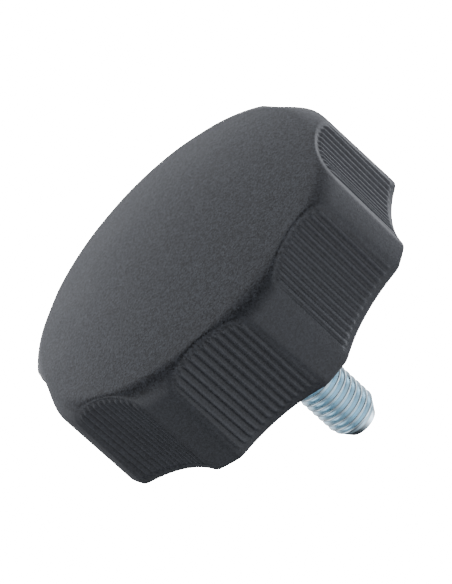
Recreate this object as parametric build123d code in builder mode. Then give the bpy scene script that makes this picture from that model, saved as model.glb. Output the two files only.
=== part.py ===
import math
import os

from build123d import *

os.makedirs("parts", exist_ok=True)

# A lobed hand knob, in millimetres. The origin is where the stud leaves the flat
# face of the hub, and +Z runs up the axis to the domed top.

# The overall size of the grip and its nine lobes. The lobe faces lean in towards
# the top, then turn over a round shoulder into a broad low crown. The blank is turned
# a little too high, and the crown is cut from it.
lobe_count = 9
lobe_radius = 35.0
lobe_face_angle = 8.7
face_lean_angle = 1.8
top_height = 23.9
crown_rise = 2.6
shoulder_radius = 4.1
blank_allowance = 1.0

# The finger scallops between the lobes, and the ribs that stand on their floors.
scallop_depth = 3.05
edge_chamfer = 0.5
rim_chamfer = 0.6
rib_count = 13
rib_side_margin = 0.42
rib_height = 0.35
rib_crest_width = 0.4
rib_root_width = 0.95
rib_sunk_depth = 0.5
rib_start_height = 1.8
rib_top_drop = 0.8

# The hollow underside: an outer wall, a central hub and webs between them.
wall_thickness = 3.65
roof_thickness = 5.5
hub_radius = 12.5
web_count = 6
web_thickness = 2.2
web_recess = 1.5
web_overlap = 1.0

# The steel stud. Its hexagonal neck and head are held inside the hub.
stud_radius = 5.0
stud_length = 30.0
stud_point_length = 3.0
stud_point_inset = 1.8
neck_across_flats = 8.6
head_across_flats = 16.0
head_height = 6.4
head_cover = 4.0

# Each scallop is a shallow round cut that starts where two lobe faces end.
lobe_step = 360.0 / lobe_count
scallop_floor_radius = lobe_radius - scallop_depth
scallop_half_angle = math.radians((lobe_step - lobe_face_angle) / 2)
scallop_half_chord = lobe_radius * math.sin(scallop_half_angle)
scallop_sagitta = lobe_radius * math.cos(scallop_half_angle) - scallop_floor_radius
scallop_radius = (scallop_half_chord**2 + scallop_sagitta**2) / (2 * scallop_sagitta)
scallop_centre_radius = scallop_floor_radius + scallop_radius
scallop_half_width = scallop_radius * math.asin(scallop_half_chord / scallop_radius)
rib_pitch = 2 * (scallop_half_width - rib_side_margin) / rib_count

# The shoulder starts in line with the leaning lobe face and runs smoothly into the crown.
shoulder_centre_height = top_height - crown_rise - shoulder_radius
face_lean = math.radians(face_lean_angle)
face_top_height = shoulder_centre_height + shoulder_radius * math.sin(face_lean)
face_top_radius = lobe_radius - face_top_height * math.tan(face_lean)
shoulder_centre_radius = face_top_radius - shoulder_radius * math.cos(face_lean)
crown_reach = (shoulder_centre_radius**2 + crown_rise**2) / (2 * crown_rise)
crown_edge_radius = shoulder_centre_radius * (1 + shoulder_radius / crown_reach)
crown_edge_height = shoulder_centre_height + shoulder_radius * (1 - crown_rise / crown_reach)
crown_radius = crown_reach + shoulder_radius
crown_centre_height = top_height - crown_radius
blank_height = top_height + blank_allowance
face_top = (face_top_radius, face_top_height)
crown_edge = (crown_edge_radius, crown_edge_height)
face_direction = (-math.sin(face_lean), math.cos(face_lean))

# The hollow leaves an even wall behind the scallops and an even roof under the crown.
hollow_radius = scallop_floor_radius - wall_thickness
hollow_roof_height = top_height - roof_thickness


def rib_top(turn):
    """How high a rib reaches: a little under the point where its outer foot meets the outside."""
    foot_turn = math.radians(abs(turn)) + rib_root_width / 2 / scallop_radius
    across = scallop_radius * math.sin(foot_turn)
    along = scallop_centre_radius - scallop_radius * math.cos(foot_turn)
    foot_radius = math.hypot(across, along)
    under_face = (lobe_radius - foot_radius) / math.tan(face_lean)
    from_centre = min(foot_radius - shoulder_centre_radius, shoulder_radius)
    under_shoulder = shoulder_centre_height + math.sqrt(shoulder_radius**2 - from_centre**2)
    return min(under_face, under_shoulder) - rib_top_drop


# The stud: a threaded length with a tapered end, then a neck and a head whose flats
# stop it turning in the plastic.
with BuildPart() as threaded_stud:
    with BuildSketch(Plane.XY.offset(-stud_length)):
        Circle(stud_radius)
    extrude(amount=stud_length)
    tip_edge = threaded_stud.edges().sort_by(Axis.Z)[0]
    tip_face = threaded_stud.faces().sort_by(Axis.Z)[0]
    chamfer(tip_edge, stud_point_inset, stud_point_length, reference=tip_face)
    with BuildSketch():
        RegularPolygon(neck_across_flats / 2, 6, major_radius=False)
    extrude(amount=head_cover)
    with BuildSketch(Plane.XY.offset(head_cover)):
        RegularPolygon(head_across_flats / 2, 6, major_radius=False)
    extrude(amount=head_height)

# The grip is one moulding. Its outside is turned, the crown and the scallops are cut, and
# the scallops' edges are broken. The ribs then stand on the scallop floors: each is a low
# upright ridge with sloping sides, and its upper end stops just under the shoulder.
with BuildPart() as grip:
    with BuildSketch(Plane.XZ):
        with BuildLine():
            Polyline((0, blank_height), (0, 0), (lobe_radius, 0), face_top)
            TangentArc(face_top, crown_edge, tangent=face_direction)
            Polyline(crown_edge, (crown_edge_radius, blank_height), (0, blank_height))
        make_face()
    revolve(axis=Axis.Z)
    with Locations((0, 0, crown_centre_height)):
        Sphere(crown_radius, rotation=(90, 0, 0), mode=Mode.INTERSECT)
    with BuildSketch():
        with PolarLocations(scallop_centre_radius, lobe_count, start_angle=lobe_step / 2):
            Circle(scallop_radius)
    extrude(amount=top_height, mode=Mode.SUBTRACT)
    foot_edges = grip.edges().group_by(Axis.Z)[0]
    scallop_edges = grip.faces().filter_by(GeomType.CYLINDER).edges() - foot_edges
    chamfer(scallop_edges, edge_chamfer)
    chamfer(grip.edges().group_by(Axis.Z)[0], rim_chamfer)
    rib_outline = [
        (-scallop_radius - rib_sunk_depth, -rib_root_width / 2),
        (-scallop_radius, -rib_root_width / 2),
        (rib_height - scallop_radius, -rib_crest_width / 2),
        (rib_height - scallop_radius, rib_crest_width / 2),
        (-scallop_radius, rib_root_width / 2),
        (-scallop_radius - rib_sunk_depth, rib_root_width / 2),
    ]
    for rib in range(rib_count):
        turn = math.degrees(rib_pitch / scallop_radius) * (rib - (rib_count - 1) / 2)
        with BuildSketch(Plane.XY.offset(rib_start_height)):
            with PolarLocations(scallop_centre_radius, lobe_count, start_angle=lobe_step / 2):
                Polygon(*rib_outline, align=None, rotation=turn)
        extrude(amount=rib_top(turn) - rib_start_height)
    with BuildSketch():
        Circle(hollow_radius)
        Circle(hub_radius, mode=Mode.SUBTRACT)
    extrude(amount=hollow_roof_height, mode=Mode.SUBTRACT)
    with BuildSketch(Plane.XY.offset(web_recess)):
        with PolarLocations((hub_radius + hollow_radius) / 2, web_count):
            Rectangle(hollow_radius - hub_radius + 2 * web_overlap, web_thickness)
    extrude(amount=hollow_roof_height - web_recess + web_overlap)
    add(threaded_stud.part, mode=Mode.SUBTRACT)

grip.part.label = "grip"
threaded_stud.part.label = "threaded_stud"
export_step(grip.part, "parts/grip.step")
export_step(threaded_stud.part, "parts/threaded_stud.step")
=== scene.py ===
import math

import bpy
from mathutils import Matrix, Vector


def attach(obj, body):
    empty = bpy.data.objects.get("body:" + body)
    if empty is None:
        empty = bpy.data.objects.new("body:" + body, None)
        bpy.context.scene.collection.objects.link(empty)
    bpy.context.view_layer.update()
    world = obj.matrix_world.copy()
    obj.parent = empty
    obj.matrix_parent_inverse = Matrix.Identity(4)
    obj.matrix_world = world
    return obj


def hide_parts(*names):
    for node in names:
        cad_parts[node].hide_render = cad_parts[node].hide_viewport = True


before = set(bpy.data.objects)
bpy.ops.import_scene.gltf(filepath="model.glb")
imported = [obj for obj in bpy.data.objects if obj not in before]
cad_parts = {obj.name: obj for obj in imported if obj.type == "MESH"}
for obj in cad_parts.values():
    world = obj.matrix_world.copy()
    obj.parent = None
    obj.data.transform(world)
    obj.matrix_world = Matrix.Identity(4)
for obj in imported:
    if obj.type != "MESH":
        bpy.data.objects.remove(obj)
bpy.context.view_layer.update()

# The view. The camera looks down on the dome from 27 degrees above its rim, and is
# rolled so that the stud points to the lower right of the picture. The frame's origin,
# where the stud leaves the hub, falls a little right of the middle and below it.
view_azimuth = math.radians(-85.177)
view_elevation = math.radians(27.071)
view_roll = math.radians(47.74)
view_distance = 0.38926
pixels_per_metre = 5680.0
picture_width, picture_height = 452, 584
origin_pixel = (253.12, 322.43)

towards_camera = Vector((
    math.cos(view_elevation) * math.cos(view_azimuth),
    math.cos(view_elevation) * math.sin(view_azimuth),
    math.sin(view_elevation),
))
level = Vector((-math.sin(view_azimuth), math.cos(view_azimuth), 0))
upright = towards_camera.cross(level)
camera_right = level * math.cos(view_roll) - upright * math.sin(view_roll)
camera_up = level * math.sin(view_roll) + upright * math.cos(view_roll)

camera_data = bpy.data.cameras.new("camera")
camera_data.sensor_width = 36
camera_data.lens = pixels_per_metre * view_distance / picture_height * camera_data.sensor_width
camera_data.shift_x = (picture_width / 2 - origin_pixel[0]) / picture_height
camera_data.shift_y = (origin_pixel[1] - picture_height / 2) / picture_height
camera_data.clip_start = 0.01
camera = bpy.data.objects.new("camera", camera_data)
camera.matrix_world = Matrix((
    (camera_right.x, camera_up.x, towards_camera.x, towards_camera.x * view_distance),
    (camera_right.y, camera_up.y, towards_camera.y, towards_camera.y * view_distance),
    (camera_right.z, camera_up.z, towards_camera.z, towards_camera.z * view_distance),
    (0, 0, 0, 1),
))
bpy.context.scene.collection.objects.link(camera)
bpy.context.scene.camera = camera


# The light. The room is dark but for fourteen soft glows. The ones above the knob and
# beyond it put the sheen on the dome's far side and on the stud, and the ones on the
# camera's side light the lobes and the scallops.
class Wire:
    """A socket of a node tree that sums can be written with, or a whole tree."""

    def __init__(self, tree, socket=None):
        self.tree = tree
        self.socket = socket

    def node(self, kind, sockets=None, settings=None, output=0):
        """A new node in the tree, given as the wire that leaves one of its outputs."""
        made = self.tree.nodes.new(kind)
        for name, value in (settings or {}).items():
            setattr(made, name, value)
        for name, value in (sockets or {}).items():
            if isinstance(value, Wire):
                self.tree.links.new(value.socket, made.inputs[name])
            else:
                made.inputs[name].default_value = value
        return Wire(self.tree, made.outputs[output] if made.outputs else None)

    def output(self, name):
        """Another output of the node that this wire leaves."""
        return Wire(self.tree, self.socket.node.outputs[name])

    def math(self, operation, *values):
        return self.node("ShaderNodeMath", dict(enumerate(values)), {"operation": operation})

    def __add__(self, other):
        return self.math("ADD", self, other)

    def __sub__(self, other):
        return self.math("SUBTRACT", self, other)

    def __rsub__(self, other):
        return self.math("SUBTRACT", other, self)

    def __mul__(self, other):
        return self.math("MULTIPLY", self, other)

    def __truediv__(self, other):
        return self.math("DIVIDE", self, other)

    def __neg__(self):
        return self.math("MULTIPLY", self, -1)

    def clamped(self):
        return self.math("MINIMUM", self.math("MAXIMUM", self, 0), 1)

    __radd__ = __add__
    __rmul__ = __mul__


world = bpy.data.worlds.new("studio")
world.use_nodes = True
world.node_tree.nodes.clear()
room = Wire(world.node_tree)
looking = room.node("ShaderNodeTexCoord")


def glow(right, up, near, strength, focus):
    """Light from one side, as the camera sees the room. A higher focus makes it narrower."""
    middle = (camera_right * right + camera_up * up + towards_camera * near).normalized()
    facing = room.node(
        "ShaderNodeVectorMath", {0: looking, 1: middle}, {"operation": "DOT_PRODUCT"}, output="Value"
    )
    return room.math("POWER", room.math("MAXIMUM", facing, 0), focus) * strength


room_strength = (
    glow(-0.47, 0.88, 0.06, 1.7, 8.0)
    + glow(-0.8, 0.4, -0.45, 1.35, 30.0)
    + glow(0.26, 0.75, -0.61, 0.6, 4.0)
    + glow(-0.12, 0.54, -0.82, 1.5, 30.0)
    + glow(-0.55, 0.15, -0.82, 0.95, 24.0)
    + glow(-0.67, -0.09, -0.74, 1.3, 16.0)
    + glow(-0.72, -0.68, 0.17, 2.2, 8.0)
    + glow(0.89, -0.1, 0.43, 1.25, 2.0)
    + glow(0.36, -0.55, 0.75, 0.36, 4.0)
    + glow(0.61, -0.55, 0.57, 0.2, 30.0)
    + glow(0.49, 0.79, -0.37, 2.8, 30.0)
    + glow(0.79, -0.2, -0.57, 5.0, 30.0)
    + glow(0.6, 0.42, -0.68, 3.2, 40.0)
    + glow(-0.1, 0.1, -1.0, 0.5, 8.0)
)
room_colour = (0.955, 0.98, 1.05, 1)
room_light = room.node("ShaderNodeBackground", {"Color": room_colour, "Strength": room_strength})
room.node("ShaderNodeOutputWorld", {"Surface": room_light})
bpy.context.scene.world = world


# The grip: one moulding of black plastic with a fine grain. Its dome rolls over a round
# shoulder into nine lobes. Between them lie finger scallops with upright ribs, and the
# underside is cored out, which leaves a wall, a hub round the stud and six webs.
def new_finish(name):
    """An empty material, and the wire that its nodes hang on."""
    finish = bpy.data.materials.new(name)
    finish.use_nodes = True
    finish.node_tree.nodes.clear()
    return finish, Wire(finish.node_tree)


def mixed(share, dark, light):
    """The colour that lies this share of the way from the dark one to the light one."""
    return share.node("ShaderNodeMix", {"Factor": share, 6: dark, 7: light}, {"data_type": "RGBA"}, output=2)


def profile_points(name, rows, marks):
    """A mesh of the points (radius, 0, height), whose further columns are kept as marks."""
    mesh = bpy.data.meshes.new(name)
    mesh.from_pydata([(row[0], 0, row[1]) for row in rows], [], [])
    for column, mark in enumerate(marks, start=2):
        attribute = mesh.attributes.new(mark, "FLOAT", "POINT")
        attribute.data.foreach_set("value", [float(row[column]) for row in rows])
    return mesh


def new_tree(name, inputs):
    """A Geometry Nodes tree with these inputs, each of them given as its kind and value."""
    tree = bpy.data.node_groups.new(name, "GeometryNodeTree")
    for title, (kind, _) in inputs.items():
        tree.interface.new_socket(title, in_out="INPUT", socket_type="NodeSocket" + kind)
    tree.interface.new_socket("Piece", in_out="OUTPUT", socket_type="NodeSocketGeometry")
    return Wire(tree)


def turned_grid(tree, columns, rows):
    """A flat grid, with the share of a turn and the profile's row that a point stands for."""
    grid = tree.node(
        "GeometryNodeMeshGrid", {"Size X": 1.0, "Size Y": 1.0, "Vertices X": columns + 1, "Vertices Y": rows}
    )
    place = tree.node("ShaderNodeSeparateXYZ", {"Vector": tree.node("GeometryNodeInputPosition")})
    row = tree.math("ROUND", (place.output("Y") + 0.5) * (rows - 1))
    return grid, place.output("X") + 0.5, row


def place_at(profile, row):
    """The radius and the height of the profile at a row."""
    point = profile.node(
        "GeometryNodeSampleIndex",
        {"Geometry": profile, "Value": profile.node("GeometryNodeInputPosition"), "Index": row},
        {"data_type": "FLOAT_VECTOR"},
    )
    split = profile.node("ShaderNodeSeparateXYZ", {"Vector": point})
    return split.output("X"), split.output("Z")


def mark_at(profile, row, name):
    """A mark of the profile at a row."""
    mark = profile.node("GeometryNodeInputNamedAttribute", {"Name": name}, {"data_type": "FLOAT"})
    return profile.node(
        "GeometryNodeSampleIndex", {"Geometry": profile, "Value": mark, "Index": row}, {"data_type": "FLOAT"}
    )


def stored(geometry, name, value):
    """The geometry with a value kept on its points, for the material to read."""
    return geometry.node(
        "GeometryNodeStoreNamedAttribute",
        {"Geometry": geometry, "Name": name, "Value": value},
        {"data_type": "FLOAT"},
    )


def turned_skin(grid, radius, turn, height, merge_distance):
    """The grid wrapped round the axis and closed, with its faces outwards."""
    position = grid.node(
        "ShaderNodeCombineXYZ",
        {
            "X": radius * grid.math("COSINE", turn) * mm,
            "Y": radius * grid.math("SINE", turn) * mm,
            "Z": height * mm,
        },
    )
    skin = grid.node("GeometryNodeSetPosition", {"Geometry": grid, "Position": position})
    closed = grid.node("GeometryNodeMergeByDistance", {"Geometry": skin, "Distance": merge_distance})
    outward = grid.node("GeometryNodeFlipFaces", {"Mesh": closed})
    return grid.node("GeometryNodeSetShadeSmooth", {"Geometry": outward, "Shade Smooth": True})


def end_tree(shape, finish):
    """The last nodes of a tree, which make the shape real and give it its material."""
    real = shape.node("GeometryNodeRealizeInstances", {"Geometry": shape})
    painted = shape.node("GeometryNodeSetMaterial", {"Geometry": real, "Material": finish})
    shape.node("NodeGroupOutput", {0: painted})


def new_piece(name, profile, tree, inputs):
    """The plain mesh that a tree makes from a profile, as an object of the scene."""
    maker = bpy.data.objects.new(name + "_maker", profile)
    bpy.context.scene.collection.objects.link(maker)
    modifier = maker.modifiers.new("tree", "NODES")
    modifier.node_group = tree.tree
    for title, (_, value) in inputs.items():
        if value is not None:
            modifier[tree.tree.interface.items_tree[title].identifier] = value
    bpy.context.view_layer.update()
    made = maker.evaluated_get(bpy.context.evaluated_depsgraph_get())
    piece = bpy.data.objects.new(name, bpy.data.meshes.new_from_object(made))
    bpy.data.objects.remove(maker)
    bpy.context.scene.collection.objects.link(piece)
    return piece


mm = 0.001
lobe_radius, top_height = 34.985, 23.885
lean_angle = math.radians(1.8)
shoulder_radius, shoulder_reach, shoulder_height = 4.1, 30.345, 17.2
crown_rise = top_height - shoulder_height - shoulder_radius
crown_reach = (shoulder_reach**2 + crown_rise**2) / (2 * crown_rise)
crown_radius = crown_reach + shoulder_radius
crown_angle = math.asin(shoulder_reach / crown_reach)
crown_rows, shoulder_rows, rim_rows = 8, 42, 7
ribbed_heights, plain_heights = (15.8, 13.2, 9.6, 6.0, 2.4, 2.0), (1.5, 1.0, 0.7)
rim_round = 0.6
hollow_radius, hollow_roof, hub_radius = 28.3, 18.4, 12.5
bore_radius, bore_depth = 5.0, 3.0
# A bend is how far the middle point of a rounding stands off the faces that it joins.
mouth_round, mouth_bend, bore_bend = 0.3, 0.08, 0.06
roof_round, roof_bend = 0.6, 0.18
wall_middle, roof_middle = 9.0, 20.0

# The profile runs from the crown down the outside, round the rim, through the hollow and
# into the bore. A row is a radius, a height, an inset and whether scallops are ribbed there.
profile = []
for row in range(crown_rows):
    tilt = crown_angle * row / (crown_rows - 1)
    profile.append((crown_radius * math.sin(tilt), top_height - crown_radius * (1 - math.cos(tilt)), 0, 1))
for row in range(1, shoulder_rows + 1):
    tilt = crown_angle + (math.pi / 2 - lean_angle - crown_angle) * row / shoulder_rows
    radius = shoulder_reach + shoulder_radius * math.sin(tilt)
    profile.append((radius, shoulder_height + shoulder_radius * math.cos(tilt), 0, 1))
for heights, ribbed in ((ribbed_heights, 1), (plain_heights, 0)):
    for height in heights:
        profile.append((lobe_radius - height * math.tan(lean_angle), height, 0, ribbed))
for row in range(rim_rows):
    tilt = math.pi / 2 * row / (rim_rows - 1)
    height = rim_round - rim_round * math.sin(tilt)
    inset = rim_round * (1 - math.cos(tilt))
    profile.append((lobe_radius - height * math.tan(lean_angle), height, inset, 0))
for radius, height in (
    (hollow_radius + mouth_round, 0.0),
    (hollow_radius + mouth_bend, mouth_bend),
    (hollow_radius, mouth_round),
    (hollow_radius, wall_middle),
    (hollow_radius, hollow_roof - roof_round),
    (hollow_radius - roof_bend, hollow_roof - roof_bend),
    (hollow_radius - roof_round, hollow_roof),
    (roof_middle, hollow_roof),
    (hub_radius + roof_round, hollow_roof),
    (hub_radius + roof_bend, hollow_roof - roof_bend),
    (hub_radius, hollow_roof - roof_round),
    (hub_radius, wall_middle),
    (hub_radius, mouth_round),
    (hub_radius - mouth_bend, mouth_bend),
    (hub_radius - mouth_round, 0.0),
    (bore_radius + mouth_round, 0.0),
    (bore_radius + bore_bend, bore_bend),
    (bore_radius, mouth_round),
    (bore_radius, bore_depth),
    (0.0, bore_depth),
):
    profile.append((radius, height, 0, 0))

# The plastic. Its grain is strongest on the crown, where a few grains glint. The crests of the
# ribs are a little paler, a painted highlight, and the floor between them darker, painted shade.
grain_scale, pore_scale, cloud_scale = 3800.0, 3000.0, 90.0
crown_grain_start, crown_grain_blend = 0.019, 0.003
side_grain, crown_grain = 0.3, 0.8
glint_level, glint_gain = 0.96, 14
plastic_tone, cloud_tone, painted_rib_light_and_shade_share = 0.27, 0.2, 0.16
plastic_dark, plastic_light = (0.001, 0.0011, 0.0014, 1), (0.072, 0.078, 0.09, 1)
plastic_roughness, cloud_roughness = 0.41, 0.08

grip_finish, shade = new_finish("grained_black_plastic")
where = shade.node("ShaderNodeTexCoord", output="Object")
grain = shade.node("ShaderNodeTexVoronoi", {"Vector": where, "Scale": grain_scale}, output="Color")
grain_split = shade.node("ShaderNodeSeparateColor", {"Color": grain})
pores = shade.node("ShaderNodeTexNoise", {"Vector": where, "Scale": pore_scale, "Detail": 2.0})
cloud = shade.node("ShaderNodeTexNoise", {"Vector": where, "Scale": cloud_scale, "Detail": 2.0})
# The ribs' painted highlight on the crests and painted shade between them, read from the grip's points.
painted_rib_light_and_shade_tone = shade.node("ShaderNodeAttribute", settings={"attribute_name": "painted_rib_light_and_shade"}, output="Fac")
above_axis = shade.node("ShaderNodeSeparateXYZ", {"Vector": where}).output("Z")
crown = ((above_axis - crown_grain_start) / crown_grain_blend).clamped()
grain_share = crown * crown_grain + side_grain
glints = (grain_split.output("Green") - glint_level).clamped() * glint_gain * grain_share
specks = (grain_split.output("Red") - 0.5) * grain_share
tone = specks + glints + cloud * cloud_tone + plastic_tone + painted_rib_light_and_shade_tone * painted_rib_light_and_shade_share
bump = shade.node("ShaderNodeBump", {"Strength": 0.6, "Distance": 0.00006, "Height": pores})
plastic = shade.node(
    "ShaderNodeBsdfPrincipled",
    {
        "Base Color": mixed(tone.clamped(), plastic_dark, plastic_light),
        "Roughness": cloud * cloud_roughness + plastic_roughness,
        "IOR": 1.5,
        "Normal": bump,
    },
)
shade.node("ShaderNodeOutputMaterial", {"Surface": plastic})

grip_inputs = {
    "Profile": ("Geometry", None),
    "Rows": ("Int", len(profile)),
    "Lobes": ("Int", 9),
    "Scallop floor": ("Float", 31.95),
    "Scallop radius": ("Float", 26.3),
    "Edge round": ("Float", 0.62),
    "Shoulder reach": ("Float", shoulder_reach),
    "Shoulder height": ("Float", shoulder_height),
    "Shoulder radius": ("Float", shoulder_radius),
    "Rib count": ("Int", 13),
    "Rib pitch": ("Float", 1.42),
    "Rib height": ("Float", 0.35),
    "Rib root": ("Float", 0.9),
    "Rib crest": ("Float", 0.32),
    "Rib drop": ("Float", 0.6),
    "Rib run-out": ("Float", 0.8),
    "Rib margin": ("Float", 0.1),
    "Rib share of room": ("Float", 0.45),
    "Columns per rib": ("Int", 8),
    "Columns per lobe": ("Int", 24),
    "Webs": ("Int", 6),
    "Web size": ("Vector", (17.8 * mm, 2.2 * mm, 17.4 * mm)),
    "Web place": ("Vector", (20.4 * mm, 0, 10.2 * mm)),
    "Finish": ("Material", grip_finish),
}
start = new_tree("turned_lobes", grip_inputs)
given = start.node("NodeGroupInput").output

rib_columns = given("Rib count") * given("Columns per rib")
period = rib_columns + given("Columns per lobe")
columns = period * given("Lobes")
sheet, turn_share, profile_row = turned_grid(start, columns, given("Rows"))
column = start.math("ROUND", turn_share * columns)
body_radius, body_height = place_at(given("Profile"), profile_row)
ribbed_here = mark_at(given("Profile"), profile_row, "ribbed")

# Where a column stands: evenly round the scallop's own centre, then evenly round the lobe.
lobe = start.math("FLOOR", column / period)
step = column - lobe * period
floor_radius = given("Scallop radius")
centre_radius = given("Scallop floor") + floor_radius
half_turn = given("Rib pitch") * given("Rib count") / floor_radius / 2
turn = (step / rib_columns * 2 - 1) * half_turn
half_scallop = start.math(
    "ARCTAN2",
    floor_radius * start.math("SINE", half_turn),
    centre_radius - floor_radius * start.math("COSINE", half_turn),
)
scallop_place = start.math(
    "ARCTAN2",
    floor_radius * start.math("SINE", turn),
    centre_radius - floor_radius * start.math("COSINE", turn),
)
lobe_angle = start.math("DIVIDE", 2 * math.pi, given("Lobes"))
lobe_step = (step - rib_columns) / given("Columns per lobe")
lobe_place = half_scallop + lobe_step * (lobe_angle - half_scallop * 2)
on_lobe = start.math("GREATER_THAN", step, rib_columns)
local_angle = scallop_place + (lobe_place - scallop_place) * on_lobe
angle = (lobe + 0.5) * lobe_angle + local_angle

# The scallop's floor as a distance from the axis.
offset = start.math("ABSOLUTE", local_angle - lobe_angle * start.math("ROUND", local_angle / lobe_angle))
sine = start.math("SINE", offset) * centre_radius
cosine = start.math("COSINE", offset) * centre_radius
floor_distance = cosine - start.math("SQRT", floor_radius * floor_radius - sine * sine)
wall_turn = start.math(
    "ARCTAN2",
    floor_distance * start.math("SINE", offset),
    centre_radius - floor_distance * start.math("COSINE", offset),
)

# A rib rises between its root and its crest, runs out under the arch of the shoulder,
# and takes no more than its share of the room between the floor and the outside.
rib_place = wall_turn * floor_radius / given("Rib pitch")
from_crest = start.math("ABSOLUTE", rib_place - start.math("ROUND", rib_place)) * given("Rib pitch")
rise = ((given("Rib root") / 2 - from_crest) / (given("Rib root") / 2 - given("Rib crest") / 2)).clamped()
free_room = (body_radius - floor_distance - given("Rib margin")) * given("Rib share of room")
room_above = start.math("MAXIMUM", free_room, 0)
over_shoulder = ((floor_distance - given("Shoulder reach")) / given("Shoulder radius")).clamped()
arch_rise = start.math("SQRT", 1 - over_shoulder * over_shoulder) * given("Shoulder radius")
arch_height = given("Shoulder height") + arch_rise
under_arch = ((arch_height - given("Rib drop") - body_height) / given("Rib run-out")).clamped()
rib = start.math("MINIMUM", rise * under_arch * given("Rib height"), room_above) * ribbed_here
ribbed_radius = floor_radius - rib
wall_distance = cosine - start.math("SQRT", ribbed_radius * ribbed_radius - sine * sine)

# The smaller of the two distances, blended over the edge so that it comes out round.
gap = start.math("ABSOLUTE", body_radius - wall_distance)
blend = start.math("MAXIMUM", given("Edge round") - gap, 0)
nearer = start.math("MINIMUM", body_radius, wall_distance)
rounded_edge = nearer - blend * blend / given("Edge round") / 4
skin_radius = rounded_edge - mark_at(given("Profile"), profile_row, "inset")

# The ribs' painted light and shade: above one on the crests, a painted highlight, and below nought between
# the ribs, painted shade.
full_height = (room_above / given("Rib height") * 2 - 1).clamped()
painted_rib_light_and_shade = (rise * 1.5 - 0.4) * under_arch * full_height * ribbed_here
outside = turned_skin(stored(sheet, "painted_rib_light_and_shade", painted_rib_light_and_shade), skin_radius, angle, body_height, 1e-6)

# The webs: plain walls that stand from the hub to the outer wall.
web = start.node("GeometryNodeMeshCube", {"Size": given("Web size")})
web = start.node("GeometryNodeTransform", {"Geometry": web, "Translation": given("Web place")})
web = start.node("GeometryNodeSetShadeSmooth", {"Geometry": web, "Shade Smooth": False})
ring = start.node("GeometryNodeMeshLine", {"Count": given("Webs"), "Offset": (0, 0, 0)})
web_turn = start.node("GeometryNodeInputIndex") * (2 * math.pi) / given("Webs")
web_rotation = start.node("ShaderNodeCombineXYZ", {"Z": web_turn})
webs = start.node("GeometryNodeInstanceOnPoints", {"Points": ring, "Instance": web, "Rotation": web_rotation})
joined = start.node("GeometryNodeJoinGeometry", {0: outside})
start.tree.links.new(webs.socket, joined.socket.node.inputs[0])
end_tree(joined, given("Finish"))

grip_profile = profile_points("grip_profile", profile, ("inset", "ribbed"))
grip_piece = new_piece("moulded_grip", grip_profile, start, grip_inputs)
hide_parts("grip")
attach(grip_piece, "root")

# The stud: a steel rod with a rolled M10 x 1.5 right-hand thread and a tapered end,
# zinc plated with a blue tint. Its hexagonal neck and head are moulded into the hub.
thread_pitch, turn_rows, thread_rows = 1.5, 12, 260
thread_radius, thread_top, stud_length = 4.97, 0.6, 30.0
collar_radius, neck_half_width, head_half_width = 4.9, 4.3, 8.0
head_bottom, head_top = 4.0, 10.4
end_radius, end_middle = 3.1, 2.0

# Each row is a radius, a height, and whether the hexagon's flats or the thread are there.
stud_rows = [
    (0.0, head_top, 1, 0),
    (head_half_width, head_top, 1, 0),
    (head_half_width, head_bottom, 1, 0),
    (neck_half_width, head_bottom, 1, 0),
    (neck_half_width, thread_top, 1, 0),
    (collar_radius, thread_top, 0, 0),
]
for row in range(thread_rows):
    stud_rows.append((thread_radius, thread_top - row * thread_pitch / turn_rows, 0, 1))
for radius in (end_radius, end_middle, 0.0):
    stud_rows.append((radius, -stud_length, 0, 0))

# The plating: pale and mottled, and bluer and darker down in the grooves, which is painted shade.
mottle_scale, mottle_tone, plating_tone, groove_tone = 700.0, 0.4, 0.5, 0.4
zinc_blue, zinc_pale = (0.29, 0.7, 0.93, 1), (0.97, 0.99, 0.98, 1)
plating_roughness, mottle_roughness = 0.18, 0.2

zinc, plate = new_finish("blue_zinc_plating")
zinc_place = plate.node("ShaderNodeTexCoord", output="Object")
mottle = plate.node("ShaderNodeTexNoise", {"Vector": zinc_place, "Scale": mottle_scale, "Detail": 4.0})
painted_groove_shade = plate.node("ShaderNodeAttribute", settings={"attribute_name": "painted_groove_shade"}, output="Fac")
paleness = (mottle * mottle_tone + plating_tone - painted_groove_shade * groove_tone).clamped()
zinc_bump = plate.node("ShaderNodeBump", {"Strength": 0.15, "Distance": 0.00005, "Height": mottle})
plating = plate.node(
    "ShaderNodeBsdfPrincipled",
    {
        "Base Color": mixed(paleness, zinc_blue, zinc_pale),
        "Metallic": 1.0,
        "Roughness": mottle * mottle_roughness + plating_roughness,
        "Normal": zinc_bump,
    },
)
plate.node("ShaderNodeOutputMaterial", {"Surface": plating})

stud_inputs = {
    "Profile": ("Geometry", None),
    "Rows": ("Int", len(stud_rows)),
    "Columns": ("Int", 72),
    "Pitch": ("Float", thread_pitch),
    "Thread depth": ("Float", 0.9),
    "Crest share": ("Float", 0.12),
    "Root share": ("Float", 0.3),
    "Top": ("Float", thread_top),
    "Length": ("Float", stud_length),
    "Point length": ("Float", 3.0),
    "Point radius": ("Float", 3.2),
    "Point blend": ("Float", 0.25),
    "Finish": ("Material", zinc),
}
thread = new_tree("rolled_thread", stud_inputs)
asked = thread.node("NodeGroupInput").output

# Every threaded row climbs by one pitch in a turn, and is held between the stud's ends.
rod, round_share, rod_row = turned_grid(thread, asked("Columns"), asked("Rows"))
full_radius, row_height = place_at(asked("Profile"), rod_row)
threaded = mark_at(asked("Profile"), rod_row, "threaded")
flats = mark_at(asked("Profile"), rod_row, "flats")
helix_height = row_height + round_share * asked("Pitch") * threaded
above_end = thread.math("MAXIMUM", helix_height, -asked("Length"))
under_top = thread.math("MINIMUM", above_end, asked("Top"))
rod_height = above_end + (under_top - above_end) * threaded

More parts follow.
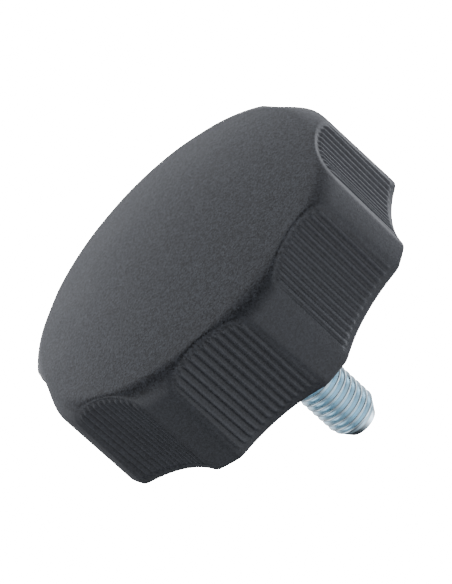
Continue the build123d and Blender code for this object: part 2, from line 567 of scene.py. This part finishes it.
# From a crest, 0, to a root, 1, across half a pitch, with flat crests and flat roots.
turns = row_height / asked("Pitch")
across_thread = thread.math("ABSOLUTE", turns - thread.math("ROUND", turns)) * 2
flank_width = 1 - asked("Crest share") - asked("Root share")
slope = ((across_thread - asked("Crest share")) / flank_width).clamped()
flank = slope * slope * (3 - slope * 2)
run_out = ((asked("Top") - helix_height) / asked("Pitch")).clamped()
cut_radius = full_radius - flank * asked("Thread depth") * run_out * threaded

# The tapered end is a cone that the thread runs into, blended so that it comes out round.
point_share = (1 - (rod_height + asked("Length")) / asked("Point length")).clamped()
cone_radius = full_radius - (full_radius - asked("Point radius")) * point_share
apart = thread.math("ABSOLUTE", cut_radius - cone_radius)
near = thread.math("MAXIMUM", asked("Point blend") - apart, 0)
tapered = thread.math("MINIMUM", cut_radius, cone_radius) - near * near * point_share
round_radius = cut_radius + (tapered - cut_radius) * thread.math("GREATER_THAN", point_share, 0)

# The neck and the head are hexagons, and the radius stays nought on the axis.
rod_turn = round_share * (2 * math.pi)
sixth = math.pi / 3
flat_turn = rod_turn - thread.math("ROUND", rod_turn / sixth) * sixth
hexagon = 1 - flats + flats / thread.math("COSINE", flat_turn)
rod_radius = round_radius * hexagon * thread.math("GREATER_THAN", full_radius, 0)

# Painted shade down in the grooves, kept on the points for the plating to read.
rod = stored(rod, "painted_groove_shade", flank * run_out * threaded * (1 - point_share))
end_tree(turned_skin(rod, rod_radius, rod_turn, rod_height, 2e-6), asked("Finish"))

stud_profile = profile_points("stud_profile", stud_rows, ("flats", "threaded"))
stud_piece = new_piece("rolled_stud", stud_profile, thread, stud_inputs)
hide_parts("threaded_stud")
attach(stud_piece, "root")

# The floor: a plain surface far below that glows white, so that the ground of the
# picture is even. It lights nothing, casts no shadow and isn't mirrored in the stud.
floor_reach, floor_height = 6, -0.8
floor_corners = [
    (-floor_reach, -floor_reach, floor_height),
    (floor_reach, -floor_reach, floor_height),
    (floor_reach, floor_reach, floor_height),
    (-floor_reach, floor_reach, floor_height),
]
floor_mesh = bpy.data.meshes.new("floor")
floor_mesh.from_pydata(floor_corners, [], [(0, 1, 2, 3)])
floor = bpy.data.objects.new("floor", floor_mesh)
bpy.context.scene.collection.objects.link(floor)
floor_finish, paint = new_finish("pale_floor")
floor_surface = paint.node(
    "ShaderNodeBsdfPrincipled",
    {
        "Base Color": (0.9, 0.9, 0.9, 1),
        "Roughness": 0.9,
        "Emission Color": (1, 1, 1, 1),
        "Emission Strength": 24.0,
    },
)
paint.node("ShaderNodeOutputMaterial", {"Surface": floor_surface})
floor_mesh.materials.append(floor_finish)
floor.visible_diffuse = False
floor.visible_glossy = False
floor.visible_shadow = False
